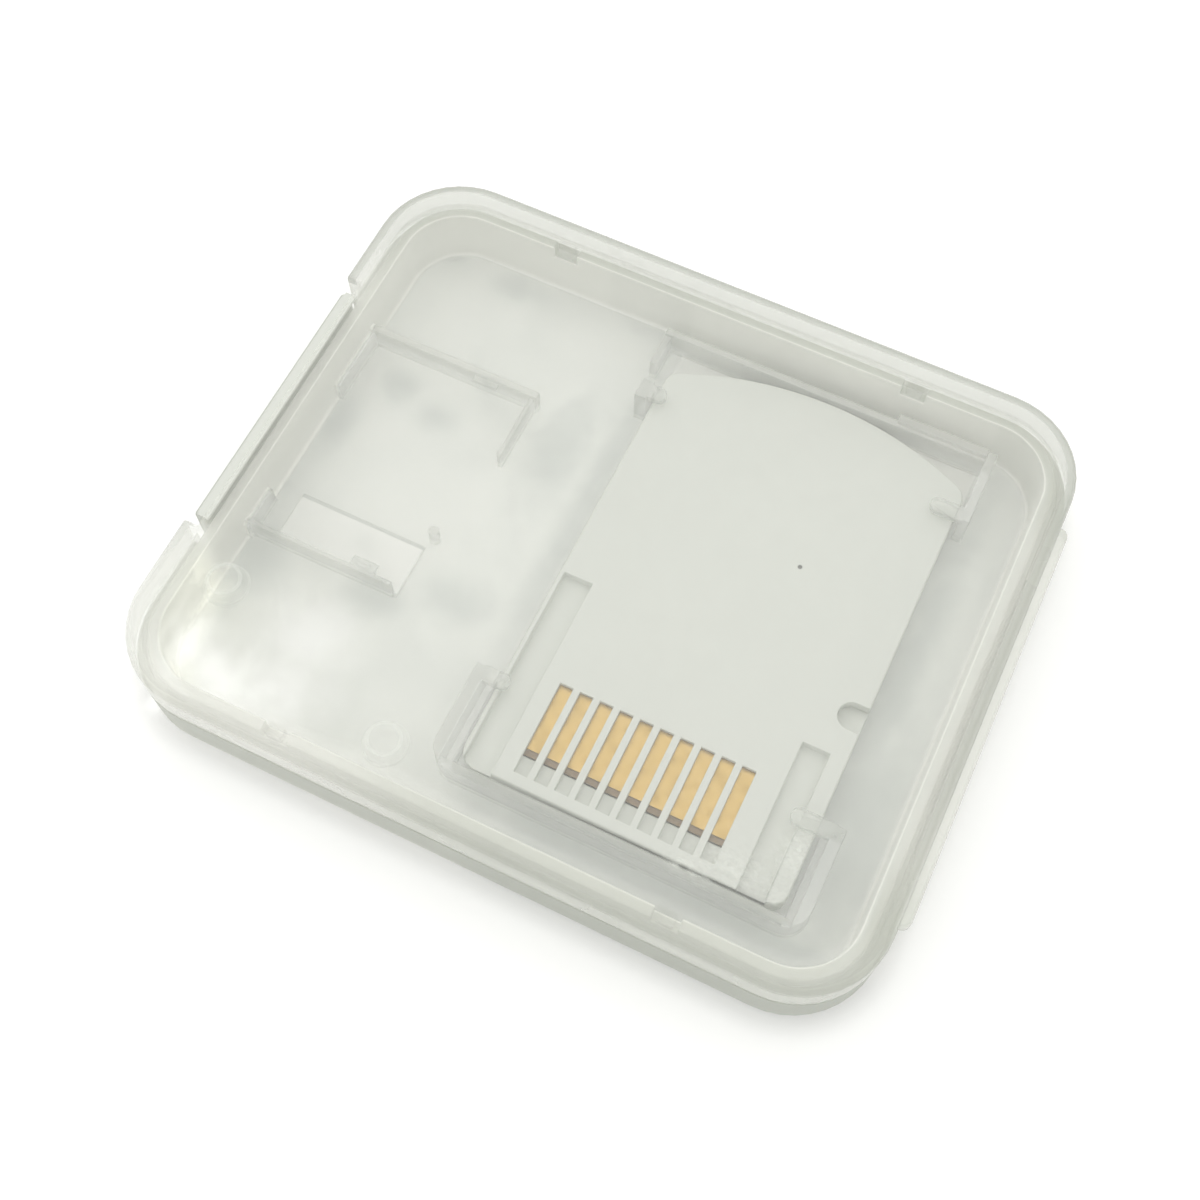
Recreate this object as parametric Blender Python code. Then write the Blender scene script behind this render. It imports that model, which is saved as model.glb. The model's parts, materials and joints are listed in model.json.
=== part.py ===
"""Hinged clear case that holds a thin card adapter and a micro card.

Metres, Z up. X runs from the hinge on the left to the thumb lip on the right, Y away from the
user. The origin is the centre of the case's footprint, on the surface that it rests on.
The tray, the hinge strip and the lid are one soft moulding, folded at two thin lines along
the strip. The adapter lies in the tray with its contacts up, and the micro pocket is empty.
"""

import math

import bmesh
import bpy
from mathutils import Matrix, Vector

# Case, and the rooms that it leaves around the two cards
CASE_HEIGHT = 0.006
HINGE_ROOM = 0.0004
MIDDLE_ROOM = 0.00725
LIP_ROOM = 0.00415
FRONT_ROOM = 0.0032
FAR_ROOM = 0.0018
CORNER_RADIUS = 0.0054
FLOOR_THICKNESS = 0.0009
LID_THICKNESS = 0.0009
SKIRT_THICKNESS = 0.0007
RIM_THICKNESS = 0.0007
PARTING_HEIGHT = 0.0032
LID_EDGE_RADIUS = 0.00035
TRAY_EDGE_RADIUS = 0.0004
INNER_EDGE_RADIUS = 0.0003
RIM_EDGE_RADIUS = 0.00015
FIT_GAP = 0.0003

# Hinge strip between the two fold lines
STRIP_LENGTH = 0.0176
STRIP_THICKNESS = 0.0007
STRIP_END_GAP = 0.0008
STRIP_CORNER_RADIUS = 0.0002
FOLD_INSET = 0.001

# Thumb lip and latch on the opening side
LIP_LENGTH = 0.0265
LIP_REACH = 0.00065
LIP_THICKNESS = 0.0009
LIP_CORNER_RADIUS = 0.0005
LIP_EDGE_RADIUS = 0.0002
LATCH_LENGTH = 0.018
LATCH_BEAD_RADIUS = 0.00015
LATCH_GROOVE_RADIUS = 0.00018
LATCH_BELOW_RIM = 0.0007

# Locating tabs of the lid, which drop into notches of the tray's rim
TAB_SPACING = 0.024
TAB_WIDTH = 0.001
TAB_DEPTH = 0.0006

# Round marks of the ejector pins, on the lid's underside
EJECTOR_RADIUS = 0.0013
EJECTOR_DEPTH = 0.0001
LEFT_EJECTOR_FROM_HINGE = 0.0042
LEFT_EJECTOR_FROM_FRONT = 0.0078
MIDDLE_EJECTOR_FROM_HINGE = 0.0172
MIDDLE_EJECTOR_FROM_FRONT = 0.0033

# Card adapter
CARD_WIDTH = 0.020
CARD_LENGTH = 0.031
CARD_THICKNESS = 0.0016
CARD_CORNER_RADIUS = 0.001
CARD_BOW = 0.0023
CARD_EDGE_RADIUS = 0.00012
CARD_SKIN = 0.00035
CARD_FIT = 0.00005

# Guide grooves and lock notch of the adapter
GROOVE_DEPTH = 0.00055
LEFT_GROOVE_WALL = 0.0003
LEFT_GROOVE_WIDTH = 0.00185
LEFT_GROOVE_LENGTH = 0.0132
RIGHT_GROOVE_WALL = 0.00105
RIGHT_GROOVE_WIDTH = 0.0017
RIGHT_GROOVE_LENGTH = 0.0095
LOCK_NOTCH_RADIUS = 0.00085
LOCK_NOTCH_INSET = 0.0008
LOCK_NOTCH_FROM_FRONT = 0.01215

# Contacts of the adapter
CONTACT_COUNT = 10
CONTACT_PITCH = 0.00128
CONTACT_ROW_OFFSET = -0.00058
WINDOW_WIDTH = 0.00085
WINDOW_LENGTH = 0.00595
WINDOW_FROM_FRONT = 0.00075
CONTACT_WIDTH = 0.00105
CONTACT_LENGTH = 0.0046
CONTACT_THICKNESS = 0.0001
CONTACT_FROM_FRONT = 0.0024

# Circuit board and chip inside the adapter
BOARD_WIDTH = 0.0142
BOARD_LENGTH = 0.01145
BOARD_THICKNESS = 0.0003
BOARD_OFFSET = -0.00035
BOARD_FROM_FRONT = 0.00205
BOARD_BAY_PLAY = 0.0001
CHIP_SIZE = 0.005
CHIP_THICKNESS = 0.0003

# Slot for a micro card in the adapter's far end, with its contact springs
MICRO_WIDTH = 0.011
MICRO_NECK_WIDTH = 0.0097
MICRO_LENGTH = 0.015
MICRO_THICKNESS = 0.001
SLOT_PLAY = 0.0001
SPRING_COUNT = 8
SPRING_PITCH = 0.0011
SPRING_WIDTH = 0.0005
SPRING_THICKNESS = 0.00008
SPRING_FOOT = 0.0008
SPRING_REACH = 0.0038
SPRING_DROP = 0.0006
SPRING_TIP_RISE = 0.00015

# Cradle that holds the adapter in the tray
CRADLE_WALL = 0.0012
CRADLE_STEP = 0.00045
CRADLE_LEDGE_HEIGHT = 0.0011
CRADLE_FRONT_WALL = 0.0006
CRADLE_CORNER_RADIUS = 0.0014
CRADLE_ARM_LENGTH = 0.0058
CRADLE_HEAD = 0.0008
FAR_RIB_THICKNESS = 0.0005
FAR_RIB_RETURN = 0.0028
FAR_BLOCK_LENGTH = 0.0059
FAR_BLOCK_THICKNESS = 0.0008
SIDE_RIB_THICKNESS = 0.0004
SIDE_RIB_LENGTH = 0.0054
NIB_THICKNESS = 0.0005
NIB_WIDTH = 0.001
LEFT_NIB_REACH = 0.0008
RIGHT_NIB_REACH = 0.0017
LEFT_NIB_FROM_END = 0.0045
RIGHT_NIB_FROM_END = 0.0042
FRONT_NIB_FROM_FRONT = 0.0051
NIB_POST_THICKNESS = 0.0008

# Pocket for the micro card
POCKET_FROM_FRONT = 0.0114
POCKET_PLAY = 0.0001
POCKET_RIB = 0.0005
POCKET_HEAD = 0.0002
POCKET_SIDE_LENGTH = 0.0046
POCKET_FRONT_RETURN = 0.0024
POCKET_FRONT_INSET = 0.0015
POCKET_NIB_LENGTH = 0.0017
POCKET_FAR_NIB_REACH = 0.0004
POCKET_FAR_NIB_FROM_LEFT = 0.0073
POCKET_FRONT_NIB_REACH = 0.0007
POCKET_FRONT_NIB_FROM_LEFT = 0.0067
SILL_HEIGHT = 0.0002
SILL_DEPTH = 0.0035
SILL_INSET = 0.0013
STOP_RADIUS = 0.00035
STOP_FROM_FRONT = 0.0043

# Construction
OVERRUN = 0.001
ROOT = 0.0002
CORNER_STEPS = 10
EDGE_STEPS = 3
ROUND_STEPS = 24
SPRING_STEPS = 8
SHARP_ANGLE = math.radians(35)

# Outline of the case, which goes round the two cards, their rooms and its own walls
LAP = SKIRT_THICKNESS + FIT_GAP
WALL = LAP + RIM_THICKNESS
POCKET_WIDTH = MICRO_WIDTH + 2 * POCKET_PLAY
POCKET_LENGTH = MICRO_LENGTH + 2 * POCKET_PLAY
CASE_LENGTH = 2 * WALL + HINGE_ROOM + POCKET_WIDTH + MIDDLE_ROOM + CARD_WIDTH + LIP_ROOM
CASE_DEPTH = 2 * WALL + FRONT_ROOM + CARD_LENGTH + FAR_ROOM
HALF_LENGTH = CASE_LENGTH / 2
HALF_DEPTH = CASE_DEPTH / 2

# Levels and places worked out from the sizes above
LID_UNDERSIDE = CASE_HEIGHT - LID_THICKNESS
SKIRT_BOTTOM = PARTING_HEIGHT + FIT_GAP
RIM_TOP = LID_UNDERSIDE - FIT_GAP
LATCH_HEIGHT = RIM_TOP - LATCH_BELOW_RIM
FOLD_X = STRIP_THICKNESS / 2 - HALF_LENGTH
LOWER_FOLD = Vector((FOLD_X, 0, FOLD_INSET))
UPPER_FOLD = Vector((FOLD_X, 0, CASE_HEIGHT - FOLD_INSET))
HINGE_BACK = STRIP_THICKNESS + FIT_GAP - HALF_LENGTH
CARD_BASE = FLOOR_THICKNESS + FIT_GAP
CARD_TOP = CARD_BASE + CARD_THICKNESS
CARD_X_HIGH = HALF_LENGTH - WALL - LIP_ROOM
CARD_X_LOW = CARD_X_HIGH - CARD_WIDTH
CARD_Y_LOW = WALL + FRONT_ROOM - HALF_DEPTH
CARD_Y_HIGH = CARD_Y_LOW + CARD_LENGTH
NIB_UNDERSIDE = CARD_TOP + FIT_GAP
CRADLE_TOP = NIB_UNDERSIDE + NIB_THICKNESS
POCKET_X_LOW = WALL + HINGE_ROOM - HALF_LENGTH
POCKET_X_HIGH = POCKET_X_LOW + POCKET_WIDTH
POCKET_Y_LOW = WALL + POCKET_FROM_FRONT - HALF_DEPTH
POCKET_Y_HIGH = POCKET_Y_LOW + POCKET_LENGTH
POCKET_NIB_UNDERSIDE = FLOOR_THICKNESS + MICRO_THICKNESS + POCKET_HEAD
POCKET_TOP = POCKET_NIB_UNDERSIDE + NIB_THICKNESS


def clear_scene():
    """Remove whatever the scene holds."""
    for item in list(bpy.data.objects):
        bpy.data.objects.remove(item, do_unlink=True)


def material(name, colour, roughness, metallic=0.0, clear=0.0):
    """A Principled finish; clear is how much of the light passes through."""
    finish = bpy.data.materials.new(name)
    finish.use_nodes = True
    shader = finish.node_tree.nodes["Principled BSDF"]
    shader.inputs["Base Color"].default_value = (*colour, 1)
    shader.inputs["Roughness"].default_value = roughness
    shader.inputs["Metallic"].default_value = metallic
    shader.inputs["Transmission Weight"].default_value = clear
    return finish


def tray_plastic():
    return material("tray_plastic", (0.86, 0.89, 0.85), 0.3, clear=0.7)


def strip_plastic():
    return material("strip_plastic", (0.82, 0.86, 0.82), 0.35, clear=0.5)


def lid_plastic():
    return material("lid_plastic", (0.87, 0.9, 0.87), 0.22, clear=0.85)


def white_plastic(name):
    return material(name, (0.8, 0.8, 0.77), 0.45)


def board_laminate():
    return material("board_laminate", (0.16, 0.1, 0.04), 0.5)


def chip_resin():
    return material("chip_resin", (0.02, 0.02, 0.02), 0.4)


def gold_plate(name):
    return material(name, (0.83, 0.6, 0.27), 0.3, metallic=1.0)


def spring_bronze(name):
    return material(name, (0.75, 0.55, 0.3), 0.3, metallic=1.0)


def arc(centre, radius, start, end, steps):
    """Points of an arc, both ends included, angles in radians."""
    points = []
    for index in range(steps + 1):
        angle = start + (end - start) * index / steps
        points.append(Vector((centre[0] + radius * math.cos(angle),
                              centre[1] + radius * math.sin(angle))))
    return points


def rounded_rectangle(x_low, x_high, y_low, y_high, radius, steps=CORNER_STEPS):
    """Outline of a rectangle with round corners, anticlockwise from its lower right corner."""
    centres = ((x_high - radius, y_low + radius), (x_high - radius, y_high - radius),
               (x_low + radius, y_high - radius), (x_low + radius, y_low + radius))
    points = []
    for index, centre in enumerate(centres):
        start = math.radians(90 * index - 90)
        points += arc(centre, radius, start, start + math.radians(90), steps)
    return points


def case_outline(inset):
    """The case's footprint, drawn in by a wall."""
    return rounded_rectangle(inset - HALF_LENGTH, HALF_LENGTH - inset,
                             inset - HALF_DEPTH, HALF_DEPTH - inset, CORNER_RADIUS - inset)


def body_from(bm, name, finish=None):
    """Turn a bmesh into an object of the scene."""
    bmesh.ops.recalc_face_normals(bm, faces=bm.faces)
    mesh = bpy.data.meshes.new(name)
    bm.to_mesh(mesh)
    bm.free()
    body = bpy.data.objects.new(name, mesh)
    bpy.context.scene.collection.objects.link(body)
    if finish:
        mesh.materials.append(finish)
    return body


def level_edges(bm, height):
    """The edges that lie at one height, between a flat face and a wall."""
    tolerance = ROOT / 100
    return [edge for edge in bm.edges
            if all(abs(vertex.co.z - height) < tolerance for vertex in edge.verts)]


def prism(name, outline, low, high, low_radius=0, high_radius=0, finish=None):
    """Extrude an outline from low to high, with either rim rounded over."""
    bm = bmesh.new()
    face = bm.faces.new([bm.verts.new((point[0], point[1], low)) for point in outline])
    grown = bmesh.ops.extrude_face_region(bm, geom=[face])["geom"]
    upper = [item for item in grown if isinstance(item, bmesh.types.BMVert)]
    bmesh.ops.translate(bm, verts=upper, vec=(0, 0, high - low))
    for height, radius in ((low, low_radius), (high, high_radius)):
        if radius:
            bmesh.ops.bevel(bm, geom=level_edges(bm, height), offset=radius,
                            segments=EDGE_STEPS, profile=0.5, affect='EDGES')
    return body_from(bm, name, finish)


def box(name, x_low, x_high, y_low, y_high, z_low, z_high, finish=None):
    """A square-edged block between two corners."""
    outline = ((x_low, y_low), (x_high, y_low), (x_high, y_high), (x_low, y_high))
    return prism(name, outline, z_low, z_high, finish=finish)


def bar_along_y(name, x, z, radius, length):
    """A round bar centred on the case's middle line."""
    bm = bmesh.new()
    turn = Matrix.Rotation(math.radians(90), 4, 'X')
    bmesh.ops.create_cone(bm, cap_ends=True, segments=ROUND_STEPS, radius1=radius, radius2=radius,
                          depth=length, matrix=Matrix.Translation((x, 0, z)) @ turn)
    return body_from(bm, name)


def disc(name, x, y, radius, low, high):
    """An upright round disc."""
    turned = arc((x, y), radius, 0, math.tau, ROUND_STEPS)[:-1]
    return prism(name, turned, low, high)


def combine(body, tools, operation):
    """Apply a Boolean with each tool in turn, and take the tools away."""
    for tool in tools:
        step = body.modifiers.new(operation.lower(), 'BOOLEAN')
        step.operation = operation
        step.object = tool
        bpy.context.view_layer.update()
        shaped = body.evaluated_get(bpy.context.evaluated_depsgraph_get())
        result = bpy.data.meshes.new_from_object(shaped)
        body.modifiers.clear()
        body.data = result
        bpy.data.objects.remove(tool, do_unlink=True)


def join(body, *tools):
    combine(body, tools, 'UNION')


def cut(body, *tools):
    combine(body, tools, 'DIFFERENCE')


def finish_shading(body):
    """Shade the rounds smooth and keep the corners crisp."""
    body.data.shade_smooth()
    body.data.set_sharp_from_angle(angle=SHARP_ANGLE)


def carry(body, place, parent=None):
    """Put an object's origin at a place of the world, on the piece that carries it."""
    base = parent.matrix_world.translation.copy() if parent else Vector()
    body.data.transform(Matrix.Translation(-place))
    body.parent = parent
    body.location = place - base
    bpy.context.view_layer.update()


def hinge_notch(low, high):
    """Cutter for the space that the hinge strip and its end gaps take."""
    reach = STRIP_LENGTH / 2 + STRIP_END_GAP
    return box("hinge_notch", -HALF_LENGTH - OVERRUN, HINGE_BACK, -reach, reach, low, high)


def tab_places():
    """Signs of the four locating tabs, along the case and across it."""
    return [(along, across) for along in (-1, 1) for across in (-1, 1)]


def rim_notches():
    """Cutters for the notches of the rim that the lid's tabs drop into."""
    half = TAB_WIDTH / 2 + FIT_GAP
    low = LID_UNDERSIDE - TAB_DEPTH - 2 * FIT_GAP
    inner = HALF_DEPTH - WALL - OVERRUN
    outer = HALF_DEPTH - LAP + OVERRUN
    cutters = []
    for along, across in tab_places():
        x = along * TAB_SPACING / 2
        y_low, y_high = sorted((across * inner, across * outer))
        cutters.append(box("rim_notch", x - half, x + half, y_low, y_high, low, CASE_HEIGHT))
    return cutters


def tray_shell(finish):
    """Floor and outer wall, with the inner rim that the lid's skirt laps over."""
    tray = prism("tray", case_outline(0), 0, PARTING_HEIGHT, low_radius=TRAY_EDGE_RADIUS,
                 finish=finish)
    cut(tray, hinge_notch(-OVERRUN, PARTING_HEIGHT + OVERRUN))
    rim = prism("rim", case_outline(LAP), FLOOR_THICKNESS, RIM_TOP, high_radius=RIM_EDGE_RADIUS)
    join(tray, rim)
    hollow = prism("hollow", case_outline(WALL), FLOOR_THICKNESS, RIM_TOP + OVERRUN,
                   low_radius=INNER_EDGE_RADIUS)
    cut(tray, hollow, *rim_notches())
    bead = bar_along_y("latch_bead", HALF_LENGTH - LAP, LATCH_HEIGHT, LATCH_BEAD_RADIUS, LATCH_LENGTH)
    join(tray, bead)
    return tray


def cradle_front(tray):
    """U-shaped wall around the adapter's contact end, stepped inside its two arms."""
    x_low = CARD_X_LOW - FIT_GAP
    x_high = CARD_X_HIGH + FIT_GAP
    y_low = CARD_Y_LOW - FIT_GAP
    arm_end = y_low + CRADLE_ARM_LENGTH
    top = CRADLE_TOP
    outline = rounded_rectangle(x_low - CRADLE_WALL, x_high + CRADLE_WALL,
                                y_low - CRADLE_FRONT_WALL, arm_end + CRADLE_CORNER_RADIUS,
                                CRADLE_CORNER_RADIUS)
    wall = prism("cradle", outline, FLOOR_THICKNESS - ROOT, top)
    inside = box("cradle_inside", x_low, x_high, y_low, arm_end + CARD_WIDTH, 0, top + OVERRUN)
    ledge_low = FLOOR_THICKNESS + CRADLE_LEDGE_HEIGHT
    ledge = box("cradle_ledge", x_low - CRADLE_STEP, x_high + CRADLE_STEP, y_low,
                arm_end + CARD_WIDTH, ledge_low, top + OVERRUN)
    arm_trim = box("arm_trim", x_low - CRADLE_WALL - OVERRUN, x_high + CRADLE_WALL + OVERRUN,
                   arm_end, arm_end + CARD_WIDTH, 0, top + OVERRUN)
    front_low = CARD_TOP + CRADLE_HEAD - NIB_THICKNESS
    front_trim = box("front_trim", x_low - CRADLE_STEP, x_high + CRADLE_STEP,
                     y_low - CRADLE_WALL - OVERRUN, y_low + OVERRUN, front_low, top + OVERRUN)
    cut(wall, inside, ledge, arm_trim, front_trim)
    join(tray, wall)


def cradle_far(tray):
    """Rib behind the adapter's bowed end, its return on the left and the block on the right."""
    low = FLOOR_THICKNESS - ROOT
    y_low = CARD_Y_HIGH + FIT_GAP
    x_low = CARD_X_LOW - FIT_GAP - CRADLE_WALL
    x_high = CARD_X_HIGH + FIT_GAP + SIDE_RIB_THICKNESS
    rib_high = y_low + FAR_RIB_THICKNESS
    rib = box("far_rib", x_low, x_high, y_low, rib_high, low, CARD_TOP)
    back = box("far_return", x_low, x_low + FAR_RIB_THICKNESS, rib_high - FAR_RIB_RETURN,
               rib_high - ROOT, low, CARD_TOP - ROOT)
    block = box("far_block", x_high - FAR_BLOCK_LENGTH - SIDE_RIB_THICKNESS, x_high - SIDE_RIB_THICKNESS,
                y_low + ROOT, y_low + FAR_BLOCK_THICKNESS, low, NIB_UNDERSIDE)
    side = box("side_rib", x_high - SIDE_RIB_THICKNESS, x_high + ROOT, rib_high - SIDE_RIB_LENGTH,
               rib_high - ROOT, low, CRADLE_TOP)
    join(tray, rib, back, block, side)


def nib(side, y, reach, root_reach):
    """Round-ended tongue over the adapter's edge; side is -1 on the left and 1 on the right."""
    edge = CARD_X_LOW if side < 0 else CARD_X_HIGH
    half = NIB_WIDTH / 2
    tip = arc((edge - side * (reach - half), y), half, math.radians(90), math.radians(270), ROUND_STEPS)
    heel = edge + side * (FIT_GAP + root_reach)
    outline = [(edge - side * (reach - half) - side * abs(p[0] - edge + side * (reach - half)), p[1])
               for p in tip]
    outline += [(heel, y - half), (heel, y + half)]
    return prism("nib", outline, NIB_UNDERSIDE, CRADLE_TOP)


def card_nibs(tray):
    """Four tongues that keep the adapter down, and the post of the far left one."""
    left_y = CARD_Y_HIGH - LEFT_NIB_FROM_END
    right_y = CARD_Y_HIGH - RIGHT_NIB_FROM_END
    front_y = CARD_Y_LOW + FRONT_NIB_FROM_FRONT
    post_low = CARD_X_LOW - FIT_GAP - NIB_POST_THICKNESS
    post = box("nib_post", post_low, CARD_X_LOW - FIT_GAP, left_y - NIB_WIDTH / 2 - ROOT,
               left_y + NIB_WIDTH / 2 + ROOT, FLOOR_THICKNESS - ROOT, CRADLE_TOP)
    join(tray, post)
    join(tray, nib(-1, left_y, LEFT_NIB_REACH, NIB_POST_THICKNESS / 2),
         nib(1, right_y, RIGHT_NIB_REACH, SIDE_RIB_THICKNESS / 2),
         nib(-1, front_y, LEFT_NIB_REACH, CRADLE_STEP + ROOT),
         nib(1, front_y, RIGHT_NIB_REACH, CRADLE_STEP + ROOT))


def pocket_walls(tray):
    """Ribs on the four sides of the micro card's pocket, with gaps for the fingers."""
    low = FLOOR_THICKNESS - ROOT
    wall_x = WALL - HALF_LENGTH - ROOT
    right = POCKET_X_HIGH + POCKET_RIB
    far = POCKET_Y_HIGH + POCKET_RIB
    front = POCKET_Y_LOW - POCKET_RIB
    far_rib = box("pocket_far", wall_x, right, POCKET_Y_HIGH, far, low, POCKET_TOP)
    left_pad = box("pocket_left", wall_x, POCKET_X_LOW, POCKET_Y_HIGH - POCKET_SIDE_LENGTH,
                   far - ROOT, low, POCKET_TOP - ROOT)
    right_rib = box("pocket_right", POCKET_X_HIGH, right - ROOT, POCKET_Y_HIGH - POCKET_SIDE_LENGTH,
                    far - ROOT, low, POCKET_TOP - ROOT)
    front_pad = box("pocket_front_pad", wall_x, POCKET_X_LOW, front, front + POCKET_FRONT_RETURN + POCKET_RIB,
                    low, POCKET_TOP - ROOT)
    front_rib = box("pocket_front", wall_x, POCKET_X_HIGH - POCKET_FRONT_INSET, front + ROOT,
                    POCKET_Y_LOW, low, POCKET_TOP)
    join(tray, far_rib, left_pad, right_rib, front_pad, front_rib)


def pocket_nibs(tray):
    """Two tongues over the micro card's ends."""
    root = POCKET_RIB / 2
    top = POCKET_TOP - ROOT
    far_x = POCKET_X_LOW + POCKET_FAR_NIB_FROM_LEFT
    front_x = POCKET_X_LOW + POCKET_FRONT_NIB_FROM_LEFT
    far = box("pocket_far_nib", far_x, far_x + POCKET_NIB_LENGTH, POCKET_Y_HIGH - POCKET_FAR_NIB_REACH,
              POCKET_Y_HIGH + root, POCKET_NIB_UNDERSIDE, top)
    front = box("pocket_front_nib", front_x, front_x + POCKET_NIB_LENGTH, POCKET_Y_LOW - root,
                POCKET_Y_LOW + POCKET_FRONT_NIB_REACH, POCKET_NIB_UNDERSIDE, top)
    join(tray, far, front)


def pocket_sill(tray):
    """Low sill under the micro card's front, and the round stop beside the card's narrow end."""
    low = FLOOR_THICKNESS - ROOT
    sill = box("sill", POCKET_X_LOW + SILL_INSET, POCKET_X_HIGH - SILL_INSET, POCKET_Y_LOW - POCKET_RIB / 2,
               POCKET_Y_LOW + SILL_DEPTH, low, FLOOR_THICKNESS + SILL_HEIGHT)
    stop_x = POCKET_X_LOW + MICRO_NECK_WIDTH + POCKET_PLAY + STOP_RADIUS
    stop = disc("stop", stop_x, POCKET_Y_LOW + STOP_FROM_FRONT, STOP_RADIUS, low, POCKET_NIB_UNDERSIDE)
    join(tray, sill, stop)


def make_tray():
    """The base of the case, one moulding with its cradle and pocket."""
    tray = tray_shell(tray_plastic())
    cradle_front(tray)
    cradle_far(tray)
    card_nibs(tray)
    pocket_walls(tray)
    pocket_nibs(tray)
    pocket_sill(tray)
    finish_shading(tray)
    return tray


def strip_profile():
    """Section of the strip, round at both folds, as points along X and Z."""
    radius = STRIP_THICKNESS / 2
    upper = arc((UPPER_FOLD.x, UPPER_FOLD.z), radius, 0, math.pi, CORNER_STEPS)
    lower = arc((LOWER_FOLD.x, LOWER_FOLD.z), radius, math.pi, math.tau, CORNER_STEPS)
    return upper + lower


def make_hinge_strip():
    """The stiff band between the two fold lines, with its origin on the lower fold."""
    bm = bmesh.new()
    half = STRIP_LENGTH / 2
    face = bm.faces.new([bm.verts.new((x, -half, z)) for x, z in strip_profile()])
    ends = [face.edges[:]]
    grown = bmesh.ops.extrude_face_region(bm, geom=[face])["geom"]
    far = [item for item in grown if isinstance(item, bmesh.types.BMVert)]
    ends.append([item for item in grown if isinstance(item, bmesh.types.BMEdge)])
    bmesh.ops.translate(bm, verts=far, vec=(0, STRIP_LENGTH, 0))
    bmesh.ops.bevel(bm, geom=ends[0] + ends[1], offset=STRIP_CORNER_RADIUS, segments=2,
                    profile=0.5, affect='EDGES')
    strip = body_from(bm, "hinge_strip", strip_plastic())
    finish_shading(strip)
    carry(strip, LOWER_FOLD)
    return strip


def lid_lip():
    """Thumb lip along the opening side, at the skirt's lower edge."""
    half = LIP_LENGTH / 2
    heel = HALF_LENGTH - SKIRT_THICKNESS / 2
    toe = HALF_LENGTH + LIP_REACH
    corners = arc((toe - LIP_CORNER_RADIUS, LIP_CORNER_RADIUS - half), LIP_CORNER_RADIUS,
                  math.radians(-90), 0, EDGE_STEPS)
    corners += arc((toe - LIP_CORNER_RADIUS, half - LIP_CORNER_RADIUS), LIP_CORNER_RADIUS,
                   0, math.radians(90), EDGE_STEPS)
    outline = [(heel, -half)] + corners + [(heel, half)]
    return prism("lip", outline, SKIRT_BOTTOM, SKIRT_BOTTOM + LIP_THICKNESS,
                 high_radius=LIP_EDGE_RADIUS)


def lid_tabs():
    """Tabs under the lid's edge that sit in the notches of the rim."""
    low = LID_UNDERSIDE - TAB_DEPTH - FIT_GAP
    high = LID_UNDERSIDE + ROOT
    tabs = []
    for along, across in tab_places():
        x = along * TAB_SPACING / 2
        y_low, y_high = sorted((across * (HALF_DEPTH - WALL), across * (HALF_DEPTH - LAP)))
        tabs.append(box("tab", x - TAB_WIDTH / 2, x + TAB_WIDTH / 2, y_low, y_high, low, high))
    return tabs


def ejector_mark(from_hinge, from_front):
    """Cutter for the shallow round mark of an ejector pin, under the lid's top."""
    return disc("ejector_mark", from_hinge - HALF_LENGTH, from_front - HALF_DEPTH, EJECTOR_RADIUS,
                LID_UNDERSIDE - OVERRUN, LID_UNDERSIDE + EJECTOR_DEPTH)


def make_lid(strip):
    """The clear cover, with its origin on the upper fold."""
    lid = prism("lid", case_outline(0), SKIRT_BOTTOM, CASE_HEIGHT, high_radius=LID_EDGE_RADIUS,
                finish=lid_plastic())
    join(lid, lid_lip())
    hollow = prism("lid_hollow", case_outline(SKIRT_THICKNESS), SKIRT_BOTTOM - OVERRUN, LID_UNDERSIDE,
                   high_radius=INNER_EDGE_RADIUS)
    groove = bar_along_y("latch_groove", HALF_LENGTH - SKIRT_THICKNESS, LATCH_HEIGHT,
                         LATCH_GROOVE_RADIUS, LATCH_LENGTH + FIT_GAP)
    cut(lid, hollow, groove, hinge_notch(SKIRT_BOTTOM - OVERRUN, CASE_HEIGHT + OVERRUN),
        ejector_mark(LEFT_EJECTOR_FROM_HINGE, LEFT_EJECTOR_FROM_FRONT),
        ejector_mark(MIDDLE_EJECTOR_FROM_HINGE, MIDDLE_EJECTOR_FROM_FRONT))
    join(lid, *lid_tabs())
    finish_shading(lid)
    carry(lid, UPPER_FOLD, strip)
    return lid


def card_outline(inset=0):
    """The adapter's outline about its own centre: square front, bowed far end."""
    half = CARD_WIDTH / 2 - inset
    front = inset - CARD_LENGTH / 2
    apex = CARD_LENGTH / 2 - inset
    corner = CARD_CORNER_RADIUS - inset
    bow_radius = (half * half + CARD_BOW * CARD_BOW) / (2 * CARD_BOW)
    swing = math.asin((half - corner) / (bow_radius - corner))
    rise = (bow_radius - corner) * math.cos(swing)
    corner_y = apex - bow_radius + rise
    up = math.radians(90)
    points = arc((half - corner, front + corner), corner, -up, 0, EDGE_STEPS)
    points += arc((half - corner, corner_y), corner, 0, up - swing, EDGE_STEPS)
    points += arc((0, apex - bow_radius), bow_radius, up - swing, up + swing, ROUND_STEPS)[1:-1]
    points += arc((corner - half, corner_y), corner, up + swing, 2 * up, EDGE_STEPS)
    points += arc((corner - half, front + corner), corner, 2 * up, 3 * up, EDGE_STEPS)
    return points


def card_hollows(low, high):
    """Cutters for the circuit board's bay and the micro card's slot."""
    front = BOARD_FROM_FRONT - BOARD_BAY_PLAY - CARD_LENGTH / 2
    bay_end = BOARD_FROM_FRONT + BOARD_LENGTH + BOARD_BAY_PLAY - CARD_LENGTH / 2
    half = BOARD_WIDTH / 2 + BOARD_BAY_PLAY
    bay = box("board_bay", BOARD_OFFSET - half, BOARD_OFFSET + half, front, bay_end + ROOT, low, high)
    slot_half = MICRO_WIDTH / 2 + SLOT_PLAY
    slot = box("micro_slot", -slot_half, slot_half, bay_end, CARD_LENGTH / 2 + OVERRUN, low, high)
    return bay, slot


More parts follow.
